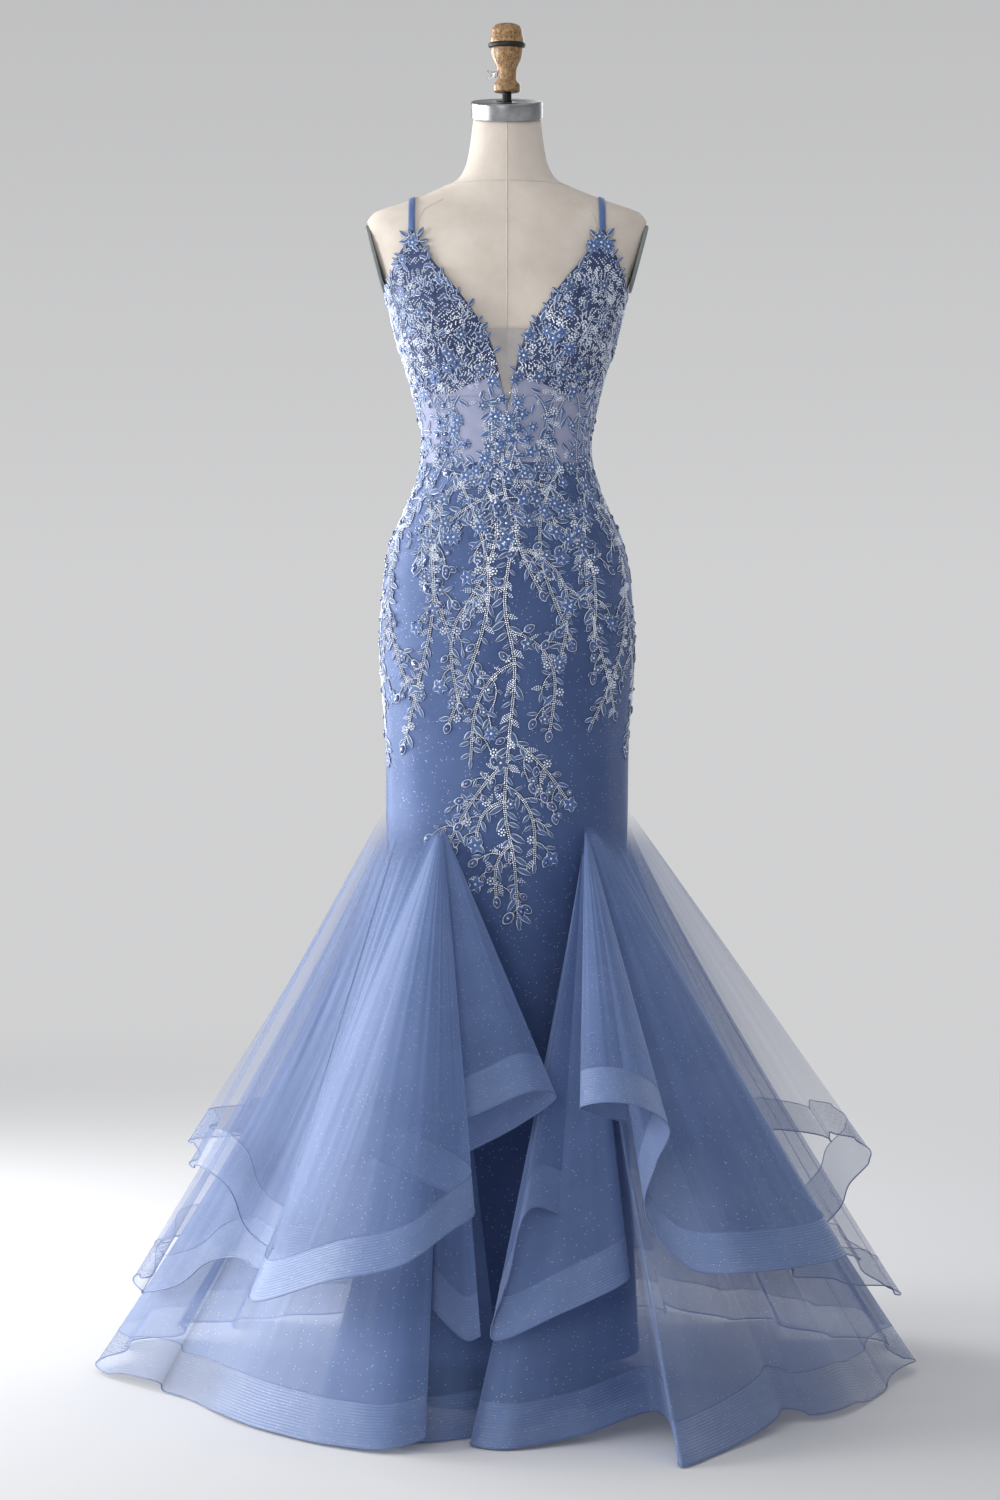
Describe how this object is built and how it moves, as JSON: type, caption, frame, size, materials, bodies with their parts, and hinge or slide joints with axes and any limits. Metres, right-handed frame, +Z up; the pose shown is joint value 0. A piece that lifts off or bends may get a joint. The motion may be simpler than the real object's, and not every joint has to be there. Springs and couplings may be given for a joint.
{
  "type": "mermaid evening gown on a limbless dress form",
  "caption": "Mermaid evening gown with beaded lace bodice, fitted satin sheath and tiered tulle ruffles, worn by a limbless linen dress form on a pole stand.",
  "frame": {"origin": "middle of the stand base's underside, on the floor", "axes": "+Z up the stand's pole, -Y out of the gown's front, +X to the viewer's right when facing its front"},
  "size_m": [1.108, 1.129, 1.7964],
  "materials": {
    "beaded_lace": "corded and beaded blue lace on satin",
    "corded_lace": "silver-blue cord and bead embroidery",
    "satin": "smooth cornflower-blue satin",
    "glitter_satin": "satin under fine glitter net",
    "sheer_net": "sheer net with fine boning",
    "skin_mesh": "skin-toned fine mesh",
    "tulle": "translucent layered tulle",
    "horsehair_braid": "ribbed stiff braid with a soft gloss",
    "zip_tape": "woven tape",
    "linen": "cream linen",
    "grey_plate": "matt grey",
    "brushed_steel": "brushed",
    "black_steel": "satin black",
    "beech": "turned and waxed",
    "chrome": "polished",
    "zip_metal": "polished"
  },
  "bodies": {
    "gown_on_form": {"applique_centre": "corded_lace", "applique_left": "corded_lace", "applique_right": "corded_lace", "applique_side_left": "corded_lace", "applique_side_right": "corded_lace", "arm_plate_left": "grey_plate", "arm_plate_right": "grey_plate", "bodice_back_left": "satin", "bodice_back_right": "satin", "braid_floor_left": "horsehair_braid", "braid_floor_left_back": "horsehair_braid", "braid_floor_right": "horsehair_braid", "braid_floor_right_back": "horsehair_braid", "braid_middle_front_left": "horsehair_braid", "braid_middle_front_right": "horsehair_braid", "braid_middle_left": "horsehair_braid", "braid_middle_left_back": "horsehair_braid", "braid_middle_right": "horsehair_braid", "braid_middle_right_back": "horsehair_braid", "braid_upper_left": "horsehair_braid", "braid_upper_left_back": "horsehair_braid", "braid_upper_right": "horsehair_braid", "braid_upper_right_back": "horsehair_braid", "corset_front": "sheer_net", "cup_left": "beaded_lace", "cup_right": "beaded_lace", "finial_body": "beech", "finial_cap": "beech", "finial_ring": "black_steel", "form_torso": "linen", "neck_cap": "brushed_steel", "neck_insert": "skin_mesh", "neck_rod": "black_steel", "ruffle_floor_left": "tulle", "ruffle_floor_left_back": "tulle", "ruffle_floor_right": "tulle", "ruffle_floor_right_back": "tulle", "ruffle_middle_front_left": "tulle", "ruffle_middle_front_right": "tulle", "ruffle_middle_left": "tulle", "ruffle_middle_left_back": "tulle", "ruffle_middle_right": "tulle", "ruffle_middle_right_back": "tulle", "ruffle_upper_left": "tulle", "ruffle_upper_left_back": "tulle", "ruffle_upper_right": "tulle", "ruffle_upper_right_back": "tulle", "skirt_back_left": "glitter_satin", "skirt_back_right": "glitter_satin", "skirt_front": "glitter_satin", "stand_base": "black_steel", "stand_pole": "brushed_steel", "strap_left": "satin", "strap_right": "satin", "zip_slider": "zip_metal", "zip_tape": "zip_tape"},
    "pull_tab": {"zip_pull": "zip_metal"},
    "screw": {"wing_screw": "chrome"}
  },
  "joints": [
    {"name": "zip_pull_swing", "type": "hinge", "parent": "gown_on_form", "child": "pull_tab", "pos_m": [0, 0.10135, 1.3419], "axis": [1, 0, 0], "range_deg": [0, 150]},
    {"name": "wing_screw_turn", "type": "hinge", "parent": "gown_on_form", "child": "screw", "pos_m": [0, -0.00315, 1.7296], "axis": [1, 0, 0], "continuous": true}
  ]
}
